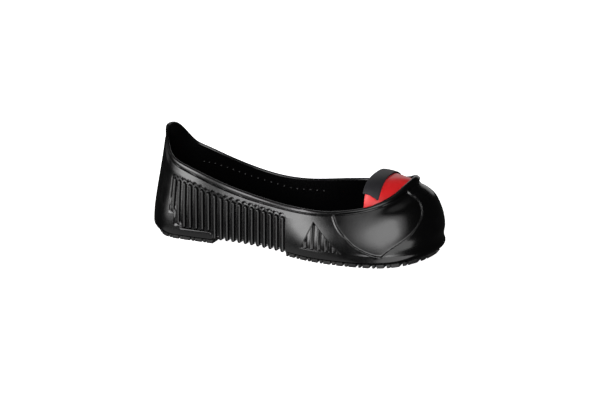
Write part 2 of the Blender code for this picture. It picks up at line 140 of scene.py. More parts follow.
def section_rows():
    """One row of values per knot, from the heel along the outer side, back along the inner."""
    rows = []
    for side in (-1, 1):
        tables = SECTIONS if side < 0 else reversed(SECTIONS[1:-1])
        for table in tables:
            at = dict(zip(SECTION_COLUMNS, table))
            name = "out" if side < 0 else "in"
            rows.append([at["foot_x"] * LENGTH, (at["mid"] + side * at["foot_" + name]) * HALF,
                         at["rim_x"] * LENGTH, (at["mid"] + side * at["rim_" + name]) * HALF,
                         at["rise_" + name] * TAB_HEIGHT,
                         at["climb"], at["reach"], at["drop"], at["tuck"]])
    return np.array(rows)


# %% Closed curve through the sections
class ClosedSpline:
    """Smooth closed cubic curve through rows of values, asked for at arrays of places."""

    def __init__(self, knots, rows):
        after = np.diff(knots)[:, None]
        before = np.roll(after, 1, axis=0)
        slopes = (np.roll(rows, -1, axis=0) - rows) / after
        same = np.eye(len(rows))
        matrix = 2 * (before + after) * same
        matrix += before * np.roll(same, -1, axis=1) + after * np.roll(same, 1, axis=1)
        self.knots, self.rows, self.steps = knots, rows, after
        self.bends = np.linalg.solve(matrix, 6 * (slopes - np.roll(slopes, 1, axis=0)))

    def at(self, place):
        place = np.mod(place, self.knots[-1])
        i = np.clip(np.searchsorted(self.knots, place, side="right") - 1, 0, len(self.steps) - 1)
        j = (i + 1) % len(self.rows)
        step = self.steps[i]
        b = (place - self.knots[i])[..., None] / step
        a = 1 - b
        bend = (a ** 3 - a) * self.bends[i] + (b ** 3 - b) * self.bends[j]
        return a * self.rows[i] + b * self.rows[j] + bend * step * step / 6


def measured_spline():
    """The curve, with its places measured half along the foot and half along the rim."""
    rows = section_rows()
    after = np.roll(rows, -1, axis=0)
    foot = np.linalg.norm((after - rows)[:, 0:2], axis=1)
    rim = np.linalg.norm((after - rows)[:, 2:5], axis=1)
    return ClosedSpline(np.concatenate([[0], np.cumsum((foot + rim) / 2)]), rows)


SPLINE = measured_spline()
ROUND = SPLINE.knots[-1]
TOE = SPLINE.knots[len(SECTIONS) - 1]
print("round the shoe: %.0f mm, its outer side: %.0f mm" % (ROUND * 1000, TOE * 1000))


# %% Points and normals of the wall
NEAR = 0.004


def spring(x):
    """How far the toe of the sole lifts off the ground."""
    return TOE_SPRING * ramp(x, SPRING_START, LENGTH) ** 2


def tread_base(x):
    """Height of the sole's underside between the lugs."""
    arch = mix(ARCH_HEIGHT, LUG_HEIGHT, ramp(x, ARCH_MIDDLE, FORE_BACK))
    return np.where(x <= HEEL_FRONT, LUG_HEIGHT, arch) + spring(x)


def floor_height(x):
    """Height of the floor inside."""
    arch = ramp(x, HEEL_FRONT, ARCH_STOP)
    return LUG_HEIGHT + FLOOR + (ARCH_HEIGHT - LUG_HEIGHT) * np.sin(np.pi * arch) + spring(x)


def points(x, y, z):
    """Arrays of coordinates as one array of points."""
    return np.stack(np.broadcast_arrays(x, y, z), axis=-1)


def cubic(start, first, second, stop, share):
    """Points at a share of the curves from start to stop that first and second bend."""
    b = np.asarray(share)[..., None]
    a = 1 - b
    return a ** 3 * start + 3 * a * a * b * first + 3 * a * b * b * second + b ** 3 * stop


def wall_points(place, height):
    """Outer surface of the wall at places round the shoe and shares of its curve from foot to rim."""
    foot_x, foot_y, rim_x, rim_y, rim_z, climb, reach, drop, _ = np.moveaxis(SPLINE.at(place), -1, 0)
    foot = points(foot_x, foot_y, FOOT_LINE + spring(foot_x))
    rim = points(rim_x, rim_y, rim_z)
    lean = rim - foot
    lower = foot + points(0 * climb, 0 * climb, climb * lean[..., 2])
    upper = rim - lean * points(reach, reach, drop)
    return cubic(foot, lower, upper, rim, height)


def way_along(places):
    """Share of the way from heel to toe, on either side."""
    return np.where(places <= TOE, places / TOE, (ROUND - places) / (ROUND - TOE))


def unit(vectors):
    return vectors / np.linalg.norm(vectors, axis=-1, keepdims=True)


def wall_normals(place, height):
    """Unit vectors out of the wall, from points a little apart."""
    step = NEAR * TOE
    up = np.minimum(height + NEAR, 1.0)
    along = wall_points(place + step, height) - wall_points(place - step, height)
    climb = wall_points(place, up) - wall_points(place, up - 2 * NEAR)
    return unit(np.cross(along, climb))


# %% [markdown]
# ## Columns round the shoe
# The fine wall is one sheet of points wrapped round the shoe. Its columns stand close together
# where the wall is ribbed and further apart where it is smooth, and each rib has the same number of
# them, so that all ribs come out alike. Each column on the outer side has a partner on the inner
# side at the same distance from the heel, so floor and tread can later be laid between the two.

# %% Places of the columns
RIB_PITCH = 0.00676
RIB_COUNT = round((RIBS_STOP - RIBS_START) / RIB_PITCH)
RIB_STEP = (RIBS_STOP - RIBS_START) / RIB_COUNT
RIB_COLUMNS = 12
SLOT_STEP = 0.0076
SLOT_COLUMNS, SLOT_SPAN = 13, 81
HEEL_SPACING, PLAIN_SPACING, TOE_SPACING, CLOSE_SPACING = 0.0012, 0.0007, 0.00072, 0.0005
LEAF_TIP = (0.915, 0.948)
HEEL_MARGIN, FIELD_MARGIN = 0.003, 0.002
FINE_STEPS = 4000
FINE = np.linspace(0, TOE, FINE_STEPS)
FINE_X = SPLINE.at(FINE)[:, 0]


def place_of(x):
    """Place on the outer side where the foot line passes x."""
    return np.interp(x, FINE_X, FINE)


def evenly(start, stop, spacing):
    """Places from start up to but without stop, about one spacing apart."""
    return np.linspace(start, stop, max(1, round((stop - start) / spacing)), endpoint=False)


def column_places():
    """Places of the columns on the outer side and of their partners on the inner one."""
    slot_numbers = np.arange(SLOT_SPAN) - 2 * SLOT_COLUMNS
    slots = TRIANGLE_PEAK + slot_numbers * SLOT_STEP / SLOT_COLUMNS
    tip = [share * TOE for share in LEAF_TIP]
    parts = [
        evenly(0, place_of(RIBS_START - HEEL_MARGIN), HEEL_SPACING),
        evenly(place_of(RIBS_START - HEEL_MARGIN), place_of(RIBS_START), CLOSE_SPACING),
        place_of(np.linspace(RIBS_START, RIBS_STOP, RIB_COUNT * RIB_COLUMNS, endpoint=False)),
        evenly(place_of(RIBS_STOP), place_of(RIBS_STOP + FIELD_MARGIN), CLOSE_SPACING),
        evenly(place_of(RIBS_STOP + FIELD_MARGIN), place_of(slots[0]), PLAIN_SPACING),
        place_of(slots),
        evenly(place_of(slots[-1]) + 0.0006, tip[0], TOE_SPACING),
        evenly(tip[0], tip[1], CLOSE_SPACING),
        evenly(tip[1], TOE, TOE_SPACING),
        [TOE],
    ]
    outer = np.concatenate(parts)
    back = np.linspace(ROUND, TOE, FINE_STEPS)
    inner = np.interp(SPLINE.at(outer)[:, 0], SPLINE.at(back)[:, 0], back)
    inner[0], inner[-1] = ROUND, TOE
    return outer, inner


OUTER, INNER = column_places()
COLUMNS = np.concatenate([OUTER, INNER[-2::-1]])
STATION_X = SPLINE.at(OUTER)[:, 0]
print("stations:", len(OUTER), "columns round the shoe:", len(COLUMNS) - 1)

# %% [markdown]
# ## Relief of the wall
# The moulding's relief is worked out as a height above or below the smooth wall. The side ribs are
# rounded fingers in a recessed field: the distance to a finger's middle line decides between
# finger, groove and plain wall. Ahead of them are a triangle of slots and the toe's leaf-shaped
# panels, and round the throat runs a bead.

# %% Side ribs
RIB_RADIUS = 0.0021
RIB_FLATNESS = 2.3
RIB_PROUD = 0.0007
RIB_GROOVE = 0.0021
RIBS_BELOW_RIM = 0.0121
FIRST_RIB_BELOW_RIM = 0.0188
FIRST_RIB_FOOT = 0.310
RIB_FOOT_RISE = 0.0012
TIP_GROOVE, FOOT_GROOVE = 0.0011, 0.0002
BORDER_START, BORDER_STOP, FOOT_BORDER = 0.00005, 0.0008, 0.0007
FIRST_RIBS = (RIBS_FULL - 0.001, RIBS_FULL + 0.003)
FIRST_GROOVES, FIRST_GROOVE_RISE = (0.25, 0.90), 0.009
ARCH_MARGIN = 0.001


def rib_top(x, rim_z):
    """Height above the ground of a finger's upper tip."""
    level = ramp(x, RIBS_START, RIBS_LEVEL)
    return rim_z - mix(FIRST_RIB_BELOW_RIM, RIBS_BELOW_RIM, level)


def rib_foot(x):
    """Height above the ground of its lower tip; under the arch there is none."""
    full = ramp(x, RIBS_START, RIBS_FULL)
    foot = mix(FIRST_RIB_FOOT * TAB_HEIGHT, FOOT_LINE + RIB_FOOT_RISE, full)
    return np.where(x > HEEL_FRONT, -1.0, foot)


def finger_dome(distance):
    """Share of a finger's height at a distance from its middle line."""
    return np.sqrt(np.clip(1 - (distance / RIB_RADIUS) ** RIB_FLATNESS, 0, 1))


def rib_relief(x, z, rim_z):
    """Relief of the side ribs: x is the column's foot, z the height above the ground."""
    half = RIB_STEP / 2
    number = np.floor((x - RIBS_START) / RIB_STEP)
    low = RIB_RADIUS + FOOT_GROOVE
    dome, plain = 0.0, 1.0
    for neighbour in (-1, 0, 1):
        finger = np.clip(number + neighbour, 0, RIB_COUNT - 1)
        centre = RIBS_START + (finger + 0.5) * RIB_STEP
        across = x - centre
        above = np.maximum(0, z - (rib_top(centre, rim_z) - RIB_RADIUS))
        under = np.maximum(0, rib_foot(centre) + RIB_RADIUS - z)
        aside = np.hypot(across, np.maximum(0, above - TIP_GROOVE))
        outer = np.maximum(ease(aside, half + BORDER_START, half + BORDER_STOP),
                           ease(under, low, low + FOOT_BORDER))
        dome = np.maximum(dome, finger_dome(np.hypot(across, np.maximum(above, under))))
        plain = np.minimum(plain, outer)
    near = (x > RIBS_START - FIELD_MARGIN) & (x < RIBS_STOP + FIELD_MARGIN)
    shallow = mix(*FIRST_GROOVES, ramp(z, rib_foot(x), rib_foot(x) + FIRST_GROOVE_RISE))
    groove = -RIB_GROOVE * mix(shallow, 1.0, ease(x, *FIRST_RIBS))
    return np.where(near, mix(groove, RIB_PROUD, dome) * (1 - plain), 0.0)


def arch_relief(x):
    """The ribs as they run on under the arch."""
    under = (x > HEEL_FRONT) & (x < RIBS_STOP + ARCH_MARGIN)
    return np.where(under, rib_relief(x, np.zeros_like(x), np.ones_like(x)), 0.0)


# %% Triangle of slots
TRIANGLE_TOP = 0.350
TRIANGLE_LOW = FOOT_LINE + 0.0008
TRIANGLE_LEAN = (0.44, 0.75)
SLOT_DEPTH, SLOT_HALF, SLOT_END = 0.0024, 0.0021, 0.0012
FIELD_DEPTH, FIELD_EDGE = 0.0005, (-0.0003, 0.0004)


def triangle_top(x):
    """Height above the ground of the triangle's slanting borders."""
    slope = np.minimum(ramp(x, TRIANGLE_START, TRIANGLE_PEAK), ramp(x, TRIANGLE_STOP, TRIANGLE_PEAK))
    return mix(TRIANGLE_LOW - 0.002, TRIANGLE_TOP * TAB_HEIGHT, slope)


def triangle_relief(x, z):
    """Relief of V-shaped slots in a shallow field."""
    across = SLOT_STEP / 2 - np.abs(np.mod(x - TRIANGLE_PEAK, SLOT_STEP) - SLOT_STEP / 2)
    slot = np.clip(1 - across / SLOT_HALF, 0, 1)
    lean = np.where(x < TRIANGLE_PEAK, *TRIANGLE_LEAN)
    inside = np.minimum((triangle_top(x) - z) * lean, z - TRIANGLE_LOW)
    field = FIELD_DEPTH * ease(inside, *FIELD_EDGE)
    return -field - (SLOT_DEPTH - FIELD_DEPTH) * slot * ease(inside, 0.0, SLOT_END)


# %% Leaf-shaped panel on each side of the toe
# Its outline, as shares of the way from heel to toe and of the wall's curve from foot to rim.
LEAF = ((0.680, 1.060), (0.684, 0.910), (0.695, 0.640), (0.715, 0.393), (0.738, 0.202), (0.763, 0.090),
        (0.788, 0.025), (0.807, 0.002), (0.828, 0.098), (0.853, 0.178), (0.879, 0.250), (0.900, 0.326),
        (0.918, 0.416), (0.928, 0.494), (0.937, 0.640), (0.939, 0.798), (0.933, 0.933), (0.928, 1.060))
LEAF_CORNER = 7
LEAF_FRONT = 130
LEAF_DEPTH, LEAF_STEP = 0.0009, (-0.0003, 0.0011)
LEAF_LIP = (0.00025, -0.0006, 0.0006)
LEAF_MARGIN, LEAF_BATCHES = 0.02, 24


def smooth_line(rows, count):
    """Points evenly spaced along a smooth line through rows of values."""
    rows = np.array(rows)
    padded = np.concatenate([[2 * rows[0] - rows[1]], rows, [2 * rows[-1] - rows[-2]]])
    places = np.linspace(0, len(rows) - 1 - 1e-9, count)
    i = places.astype(int)
    t = (places - i)[:, None]
    a, b, c, d = (padded[i + k] for k in range(4))
    return 0.5 * (2 * b + (c - a) * t + (2 * a - 5 * b + 4 * c - d) * t ** 2
                  + (3 * b - a - 3 * c + d) * t ** 3)


LEAF_LINE = np.concatenate([smooth_line(LEAF[:LEAF_CORNER + 1], 70), smooth_line(LEAF[LEAF_CORNER:], 90)])


def inside_outline(along, up, outline):
    """Whether points lie inside a closed outline."""
    found = np.zeros(np.broadcast(along, up).shape, bool)
    for (x0, y0), (x1, y1) in zip(outline, np.roll(outline, -1, axis=0)):
        if y0 == y1:
            continue
        crosses = (y0 > up) != (y1 > up)
        found ^= crosses & (along < x0 + (up - y0) * (x1 - x0) / (y1 - y0))
    return found


def leaf_relief(places, heights, surface):
    """Relief of both panels: a shallow recess with a soft step and a thin lip round it."""
    relief = np.zeros(heights.shape)
    first, last = LEAF_LINE[:, 0].min() - LEAF_MARGIN, LEAF_LINE[:, 0].max() + LEAF_MARGIN
    for start, length in ((0, TOE), (ROUND, TOE - ROUND)):
        share = (places - start) / length
        chosen = np.nonzero((share > first) & (share < last))[0]
        line = wall_points(start + LEAF_LINE[:, 0] * length, LEAF_LINE[:, 1])
        batches = np.array_split(surface[chosen].reshape(-1, 3), LEAF_BATCHES)
        gaps = [np.min(np.linalg.norm(spots[:, None] - line[None], axis=-1), axis=1) for spots in batches]
        distance = np.concatenate(gaps).reshape(len(chosen), -1)
        inside = inside_outline(share[chosen][:, None], heights[chosen], LEAF_LINE)
        signed = np.where(inside, distance, -distance)
        relief[chosen] += swell(signed, *LEAF_LIP) - LEAF_DEPTH * ease(signed, *LEAF_STEP)
    return relief


# %% Bead round the throat
BEAD_PLACES = (0.40, 0.58, 0.74)
BEAD_WIDTHS = (0.0056, 0.0040, 0.0030)
BEAD_PROUD, BEAD_SOFT = 0.0008, 0.0006
CREST_SHARE, CREST_START, CREST_STOP = 0.55, 0.0008, 0.0030
FULL_CREST = lengthwise(0.40, 0.56)
CREASE_DEPTH, CREASE_REACH = 0.0006, 0.0005
SHOULDER_DEPTH, SHOULDER_WIDTH = 0.0007, 0.0075
SHOULDER_FADE = lengthwise(0.54, 0.64)
THROAT_START, THROAT_STOP = 0.78, 0.94
THROAT_PROUD, THROAT_SOFT, THROAT_WIDTH = 0.0026, 0.0020, 0.0052
LIP_RISE = 0.0018
DIP_DEPTH, DIP_BELOW, DIP_REACH = 0.0009, 0.0078, 0.0040


def throat_share(places):
    """How far a place counts as the front of the throat, where the bead is a thick lip."""
    return ease(way_along(places), THROAT_START, THROAT_STOP)


def roll_radius(places):
    """Half the thickness of the rolled rim."""
    return (WALL + mix(BEAD_PROUD, THROAT_PROUD, throat_share(places))) / 2


def bead_relief(below, throat, x):
    """Bead with a crease and a shoulder under it, at distances below the rim."""
    width = mix(np.interp(x / LENGTH, BEAD_PLACES, BEAD_WIDTHS), THROAT_WIDTH, throat)
    soft = mix(BEAD_SOFT, THROAT_SOFT, throat)
    sloping = mix(CREST_SHARE, 1.0, ramp(below, CREST_START, CREST_STOP))
    crest = mix(sloping, 1.0, np.maximum(throat, ease(x, *FULL_CREST)))
    proud = mix(BEAD_PROUD, THROAT_PROUD, throat) * crest
    bead = proud * (1 - ease(below, width - soft, width + 0.0002))
    crease = swell(below, CREASE_DEPTH * (1 - throat), width + CREASE_REACH, CREASE_REACH)
    dip = swell(below, DIP_DEPTH * throat, DIP_BELOW, DIP_REACH)
    shoulder = (1 - ease(x, *SHOULDER_FADE)) * (1 - ramp(below, width, width + SHOULDER_WIDTH))
    return bead - crease - dip - SHOULDER_DEPTH * shoulder


# %% Fullness of the toe
# The last three are swells in the wall: their height, middle and reach.
TOE_SPAN = lengthwise(0.84, 0.99)
EDGE_SPAN = lengthwise(0.74, 0.80)
TOE_SHOULDER = (0.0013, 0.66, 0.16)
TOE_UPRIGHT = (-0.0016, 0.0175, 0.0055)
TOE_EDGE = (0.0004, FOOT_LINE + 0.0004, 0.0011)


def toe_relief(x, height, z):
    """The dome's shoulder is fuller than the smooth wall, the wall under it stands more upright, and
    a thin edge runs along its foot."""
    level = z - spring(x)
    dome = swell(height, *TOE_SHOULDER) + swell(level, *TOE_UPRIGHT)
    return ease(x, *TOE_SPAN) * dome + ease(x, *EDGE_SPAN) * swell(level, *TOE_EDGE)


# %% [markdown]
# ## The moulding's wall
# By hand this would be a plane, subdivided and wrapped round a last. Here a grid gets one column of
# points for each place round the shoe and one row for each step of this walk: out from under the
# sole, up the wall, over the rim, down the inside. Laying the floor as a second grid on the same
# stations lets the two be merged into one closed skin.

# %% Helpers for sheets of points
def choose(piece):
    """Make a piece the active one and the only one selected."""
    bpy.ops.object.select_all(action="DESELECT")
    piece.select_set(True)
    bpy.context.view_layer.objects.active = piece


def sheet(name, spots):
    """A grid whose points are laid on an array of rows and columns of places."""
    rows, columns = spots.shape[:2]
    bpy.ops.mesh.primitive_grid_add(x_subdivisions=columns - 1, y_subdivisions=rows - 1, size=1,
                                    calc_uvs=False)
    piece = bpy.context.object
    piece.name = piece.data.name = name
    piece.data.vertices.foreach_set("co", spots.reshape(-1))
    piece.data.update()
    return piece


def fuse(pieces, distance=0.00003):
    """Join pieces into the first and merge the points that lie together."""
    choose(pieces[0])
    for piece in pieces:
        piece.select_set(True)
    if len(pieces) > 1:
        bpy.ops.object.join()
    bpy.ops.object.mode_set(mode="EDIT")
    bpy.ops.mesh.select_all(action="SELECT")
    bpy.ops.mesh.remove_doubles(threshold=distance)
    bpy.ops.mesh.select_all(action="DESELECT")
    bpy.ops.object.mode_set(mode="OBJECT")
    return pieces[0]


def settle(piece, angle):
    """Move a finished piece to its place in the frame and shade it smooth."""
    choose(piece)
    piece.location = piece.location + Vector(MIDDLE)
    bpy.ops.object.transform_apply(location=True, rotation=True, scale=True)
    bpy.ops.object.shade_smooth_by_angle(angle=math.radians(angle))
    piece.data.calc_loop_triangles()
    print("%s: %d triangles" % (piece.name, len(piece.data.loop_triangles)))


def open_edges(piece):
    """How many edges of a mesh don't join two faces."""
    counts = Counter(key for face in piece.data.polygons for key in face.edge_keys)
    return sum(count != 2 for count in counts.values())


# %% Rows of the wall
EDGE_ROWS, WALL_ROWS, ROLL_ROWS, LINING_ROWS = 9, 74, 6, 15
CURVE_STEPS, GRID_STEPS = 60, 300
CORNER = 0.0030
NOTCH_DEPTH, NOTCH_RISE, NOTCH_SHAPE = 0.0009, 0.0011, (0.2, 1.0, 0.0)
ROUND_HEEL, ROUND_TOE = (0.010, 0.034), (0.245, 0.285)
EDGE_POWER, LUG_EDGE_POWER = 2.0, 5.0
ARCH_SPREAD = 1.6
LEAF_BELOW_RIM = (0.0032, 0.0042)

# Rows crowd together at a few lines of the relief. A stretch says where along the shoe a line is
# followed: its start, full weight, fading and end. A reach says how far from the line they crowd.
CROWDING = 3.0
RIB_STRETCH = (0.024, 0.029, RIBS_STOP, RIBS_STOP + 0.012)
HEEL_STRETCH = (0.024, 0.029, 0.078, 0.088)
PEAK_STRETCH = (0.168, 0.178, 0.220, 0.228)
LEAF_STRETCH = (0.670, 0.690, 0.945, 0.965)
TIP_REACH, FOOT_REACH, BORDER_REACH, LOW_REACH, RIM_REACH = 0.0022, 0.0016, 0.0030, 0.0012, 0.0036
HEEL_RIBS_STOP, RIM_LINE = 0.075, 0.0030


def distances_up(places):
    """Length of the wall's curve up to each of a few heights, for every place."""
    heights = np.linspace(0, 1, CURVE_STEPS)
    spots = wall_points(places[:, None], heights)
    steps = np.linalg.norm(np.diff(spots, axis=1), axis=-1)
    return heights, np.concatenate([np.zeros((len(places), 1)), np.cumsum(steps, axis=1)], axis=1)


def close_lines(places, heights, walked):
    """Distances up the wall of the lines that need close rows, with their reach and weight."""
    x = SPLINE.at(places)[:, 0]
    side = way_along(places)
    z = wall_points(places[:, None], heights)[..., 2]

    def walk_to(level):
        return np.array([np.interp(a, b, c) for a, b, c in zip(level, z, walked)])

    foot = np.maximum(rib_foot(np.minimum(x, HEEL_RIBS_STOP)), 0)
    low = np.full(len(x), TRIANGLE_LOW)
    border = np.interp(side, *LEAF_LINE[:LEAF_FRONT].T)
    crease = np.array([np.interp(a, heights, c) for a, c in zip(border, walked)])
    peak = stretch(x, *PEAK_STRETCH)
    return ((walk_to(rib_top(x, z[:, -1])), TIP_REACH, stretch(x, *RIB_STRETCH)),
            (walk_to(foot), FOOT_REACH, stretch(x, *HEEL_STRETCH)),
            (walk_to(triangle_top(x)), BORDER_REACH, peak),
            (walk_to(low), LOW_REACH, peak),
            (crease, BORDER_REACH, stretch(side, *LEAF_STRETCH)),
            (walked[:, -1] - RIM_LINE, RIM_REACH, np.ones(len(x))))


def wall_rows(places):
    """Heights on the curve and distances below the rim of the rows up the outside."""
    heights, walked = distances_up(places)
    top = walked[:, -1] - roll_radius(places) + LIP_RISE * throat_share(places)
    grid = np.linspace(0, 1, GRID_STEPS) * top[:, None]
    crowd = np.ones(grid.shape)
    for line, reach, weight in close_lines(places, heights, walked):
        crowd += swell(grid, CROWDING * weight[:, None], line[:, None], reach)
    passed = np.cumsum(crowd, axis=1)
    passed = (passed - passed[:, :1]) / (passed[:, -1:] - passed[:, :1])
    found, below = [], []
    for lengths, row, share in zip(walked, grid, passed):
        distance = np.interp(np.linspace(0, 1, WALL_ROWS), share, row)
        found.append(np.interp(distance, lengths, heights))
        below.append(lengths[-1] - distance)
    return np.array(found), np.array(below)


def flat_normals(places, height):
    """Level unit vectors out of the wall at one height."""
    flat = wall_normals(places, height)
    flat[:, 2] = 0
    return unit(flat)


def edge_rows(places):
    """The sole's edge: a notch over the tread, then a curve up to the foot of the wall."""
    foot, flat = wall_points(places, 0), flat_normals(places, 0)
    x = foot[:, 0]
    round_share = np.maximum(1 - ramp(x, *ROUND_HEEL), ramp(x, *ROUND_TOE))
    tuck = mix(SIDE_TUCK, EDGE_TUCK * SPLINE.at(places)[:, -1], round_share)
    over_lugs = np.maximum(1 - ease(x, HEEL_FRONT - 0.0005, HEEL_FRONT),
                           ease(x, FORE_BACK - 0.001, FORE_BACK))
    power = mix(EDGE_POWER, LUG_EDGE_POWER, over_lugs * (1 - round_share))
    base, wave, notch = tread_base(x), arch_relief(x), NOTCH_RISE * over_lugs
    last = len(NOTCH_SHAPE) - 1
    rows = []
    for number in range(EDGE_ROWS):
        turn = number / EDGE_ROWS
        if number <= last:
            rise = notch * number / last
            out = -tuck - NOTCH_DEPTH * NOTCH_SHAPE[number] * over_lugs
        else:
            angle = (number - last) / (EDGE_ROWS - last) * math.pi / 2
            rise = mix(notch, foot[:, 2] - base, 1 - math.cos(angle))
            out = -tuck * (1 - math.sin(angle) ** (2 / power))
        spot = foot + flat * (out + wave * min(1.0, turn * ARCH_SPREAD))[:, None]
        spot[:, 2] = base + rise - wave * math.cos(turn * math.pi / 2)
        rows.append(spot)
    return rows


def outside_rows(places):
    """The wall with its relief, from its foot to where the rim rolls over."""
    heights, below = wall_rows(places)
    spots = wall_points(places[:, None], heights)
    normals = wall_normals(places[:, None], heights)
    z = spots[..., 2]
    x = SPLINE.at(places)[:, :1] + 0 * z
    rim_z = wall_points(places, 1)[:, None, 2]
    relief = rib_relief(x, z, rim_z) + triangle_relief(x, z) + toe_relief(x, heights, z)
    relief += leaf_relief(places, heights, spots) * ease(below, *LEAF_BELOW_RIM)
    relief += bead_relief(below, throat_share(places)[:, None], x)
    return list(np.moveaxis(spots + normals * relief[..., None], 1, 0))


def roll_rows(places):
    """The rolled rim, from the outside over to the lining."""
    roll, top, normal = roll_radius(places), wall_points(places, 1), wall_normals(places, 1)
    climb = unit(top - wall_points(places, 1 - 2 * NEAR))
    rows = []
    for turn in np.linspace(0, math.pi, ROLL_ROWS + 1)[1:]:
        out = roll * math.cos(turn) + roll - WALL
        lift = roll * (math.sin(turn) - 1) + LIP_RISE * throat_share(places)
        rows.append(top + normal * out[:, None] + climb * lift[:, None])
    return rows


def lining_rows(places):
    """The lining, down to a rounded corner at the floor."""
    heights, walked = distances_up(places)
    start = np.array([np.interp(lengths[-1] - radius, lengths, heights)
                      for lengths, radius in zip(walked, roll_radius(places))])
    rows = roll_rows(places)[-1:]
    for share in np.linspace(1, 0, LINING_ROWS)[1:]:
        height = start * share
        rows.append(wall_points(places, height) - wall_normals(places, height) * WALL)
    floor = floor_height(rows[-1][:, 0])
    for row in rows[1:]:
        low = floor + CORNER * np.exp(-np.maximum(0, row[:, 2] - floor) / CORNER)
        row[:, 2] = np.maximum(row[:, 2], low)
    last = rows[-1] - flat_normals(places, 1) * CORNER
    last[:, 2] = floor
    return rows + [last]


# %% Wrap the wall and lay the floor
ACROSS = np.linspace(0, 1, 13)
LINING_STEP = 4


def closed(rows):
    """Rows of a ring with the first column repeated at the end."""
    rows = np.array(rows)
    return np.concatenate([rows, rows[:, :1]], axis=1)


def between(ring, across, heights):
    """Points laid from the outer to the inner side of a ring, station by station."""
    count = len(heights)
    outer = ring[:count]
    inner = np.concatenate([ring[:1], ring[:count - 2:-1]])
    spots = mix(outer[:, None], inner[:, None], across[None, :, None])
    level = np.tile(heights[:, None], len(across))
    level[:, 0], level[:, -1] = outer[:, 2], inner[:, 2]
    level[0], level[-1] = outer[0, 2], outer[-1, 2]
    spots[..., 2] = level
    return spots


RING = COLUMNS[:-1]
WALL_SHEET = closed(edge_rows(RING) + outside_rows(RING) + roll_rows(RING))
upper = fuse([sheet("rubber_upper", WALL_SHEET)])
print("open edges of the outer wall:", open_edges(upper), "of twice", len(RING))

KEPT = np.unique(np.append(np.arange(0, len(OUTER), LINING_STEP), len(OUTER) - 1))
LINING_COLUMNS = np.concatenate([OUTER[KEPT], INNER[KEPT][-2:0:-1]])
LINING_SHEET = closed(lining_rows(LINING_COLUMNS))
insole = sheet("insole", between(LINING_SHEET[-1, :-1], ACROSS, floor_height(STATION_X[KEPT])))
insole.data.flip_normals()
lining = fuse([sheet("rubber_lining", LINING_SHEET), insole])
print("open edges of the lining:", open_edges(lining), "of", len(LINING_COLUMNS))

# %% [markdown]
# ## Pips inside the wall
# A row of small moulded pips runs along the inside of the wall, where it grips the shoe. One pip is
# a small sphere half sunk in the wall.

# %% Pips
PIP_RADIUS = 0.0014
PIP_COUNT = 20
PIP_FIRST, PIP_LAST = 0.1165, 0.546
PIP_LINE = ((0.035, 0.049, 0.132, 0.164), (0.0633, 0.0617, 0.0418, 0.0416))


def place_at(x, side):
    """Place where the foot line passes x on the outer (-1) or inner (1) side."""
    half = OUTER if side < 0 else INNER
    return np.interp(x, STATION_X, half)


def height_at(place, z):
    """Height on the wall's curve that lies at z above the ground."""
    heights = np.linspace(0, 1, 200)
    return np.interp(z, wall_points(place, heights)[:, 2], heights)


def add_pips():
    pips = []
    for side in (-1, 1):
        for share in np.linspace(0, 1, PIP_COUNT):
            x = mix(PIP_FIRST, PIP_LAST, share) * LENGTH
            place = place_at(x, side)
            z = np.interp(x, *PIP_LINE)
            height = height_at(place, z)
            spot = wall_points(place, height) - wall_normals(place, height) * WALL
            bpy.ops.mesh.primitive_uv_sphere_add(segments=10, ring_count=6, radius=PIP_RADIUS,
                                                 location=spot)
            pips.append(bpy.context.object)
    return pips


pips = fuse(add_pips(), distance=0.00001)
pips.name = pips.data.name = "rubber_pips"

# %% [markdown]
# ## The tread
# Heel and forefoot carry rubber lugs with grooves between them, and the arch shows the scalloped
# undersides of the ribs. The tread starts as a grid between the two edges of the sole. Its faces
# are picked by place, a block at a time, and an inset with a depth draws each block down to the
# ground with sloping sides.

# %% Underside of the sole
TREAD_ACROSS = 36
LUG_DRAFT = 0.0003
GROOVE = 0.0020
SLIT = 0.0010
HEEL_PITCH, FORE_PITCH = 0.0125, 0.0130
SLIT_AT = 0.34
LANES = (0.0, 0.19, 0.5, 0.81, 1.0)
LANE_GAP = 0.6 / TREAD_ACROSS
LUG_MARGIN, HEEL_OVER, FORE_OVER = 0.0035, 0.0008, 0.0010


def tread_sheet():
    heights = tread_base(STATION_X) - arch_relief(STATION_X)
    return between(WALL_SHEET[0, :-1], np.linspace(0, 1, TREAD_ACROSS + 1), heights)


tread = sheet("rubber_tread", tread_sheet())


def lug_blocks():
    """Blocks of the tread as (start, stop, first lane, last lane) along and across the sole."""
    fields = ((LUG_MARGIN, HEEL_FRONT + HEEL_OVER, HEEL_PITCH),
              (FORE_BACK - FORE_OVER, LENGTH - LUG_MARGIN, FORE_PITCH))
    for start, stop, pitch in fields:
        count = round((stop - start) / pitch)
        step = (stop - start) / count
        for i in range(count):
            first, last = start + i * step, start + (i + 1) * step
            slit = first + SLIT_AT * step
            for lane in (0, 3):
                yield first + GROOVE / 2, slit - SLIT / 2, LANES[lane], LANES[lane + 1]
                yield slit + SLIT / 2, last - GROOVE / 2, LANES[lane], LANES[lane + 1]
            if i % 2 == 0:
                last = min(stop, last + step)
                for lane in (1, 2):
                    yield first + GROOVE / 2, last - GROOVE / 2, LANES[lane], LANES[lane + 1]


def pick_blocks():
    """Select the faces of the blocks, which leaves the grooves between them."""
    mesh = tread.data
    centres = np.empty(len(mesh.polygons) * 3)
    mesh.polygons.foreach_get("center", centres)
    x = centres[::3]
    share = (np.arange(len(x)) % TREAD_ACROSS + 0.5) / TREAD_ACROSS
    chosen = np.zeros(len(x), bool)
    for first, last, low, high in lug_blocks():
        low += LANE_GAP if low > 0 else 0
        high -= LANE_GAP if high < 1 else 0
        chosen |= (x > first) & (x < last) & (share > low) & (share < high)
    mesh.polygons.foreach_set("select", chosen)
    return int(chosen.sum())


